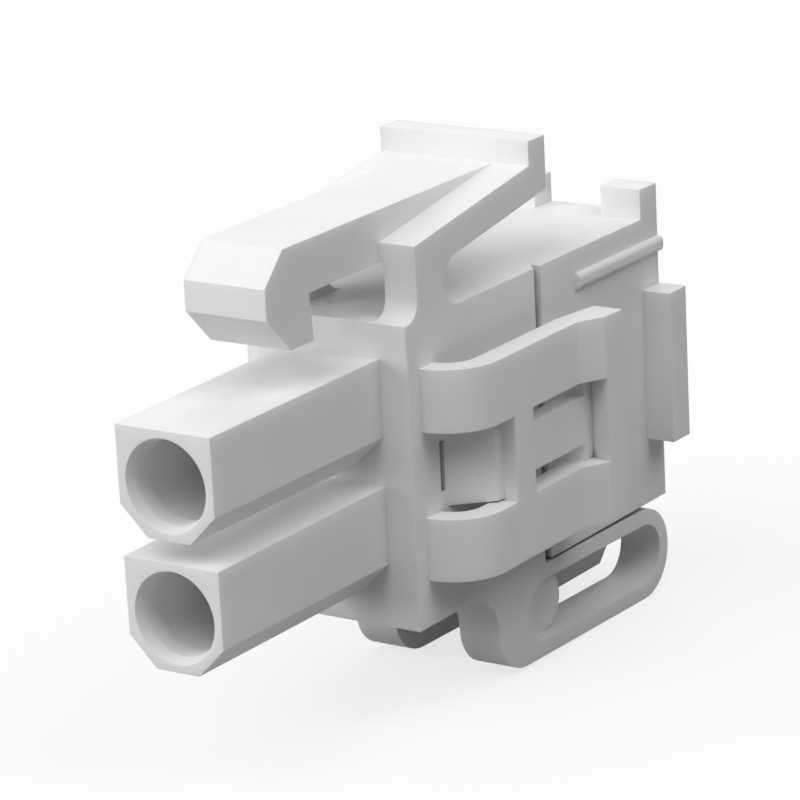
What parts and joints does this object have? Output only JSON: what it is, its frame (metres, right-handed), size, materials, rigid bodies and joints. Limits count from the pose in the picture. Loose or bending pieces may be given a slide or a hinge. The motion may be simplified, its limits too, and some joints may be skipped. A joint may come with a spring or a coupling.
{
  "type": "connector housing",
  "caption": "Moulded two-way connector housing with round contact silos, a hooked latch beam, sprung side arms and spring loops below.",
  "frame": {"origin": "on the mating face, midway between the axes of the two contact silos", "axes": "-Y points out of the mating face towards the mating half, +Y back to the wire side, +Z is the latch side, +X is to the right of the mating face with the latch up"},
  "size_m": [0.0102, 0.0242, 0.0175],
  "materials": {
    "housing_plastic": "fine matte moulded nylon, natural white"
  },
  "bodies": {
    "root": {"connector_housing": "housing_plastic"}
  },
  "joints": []
}
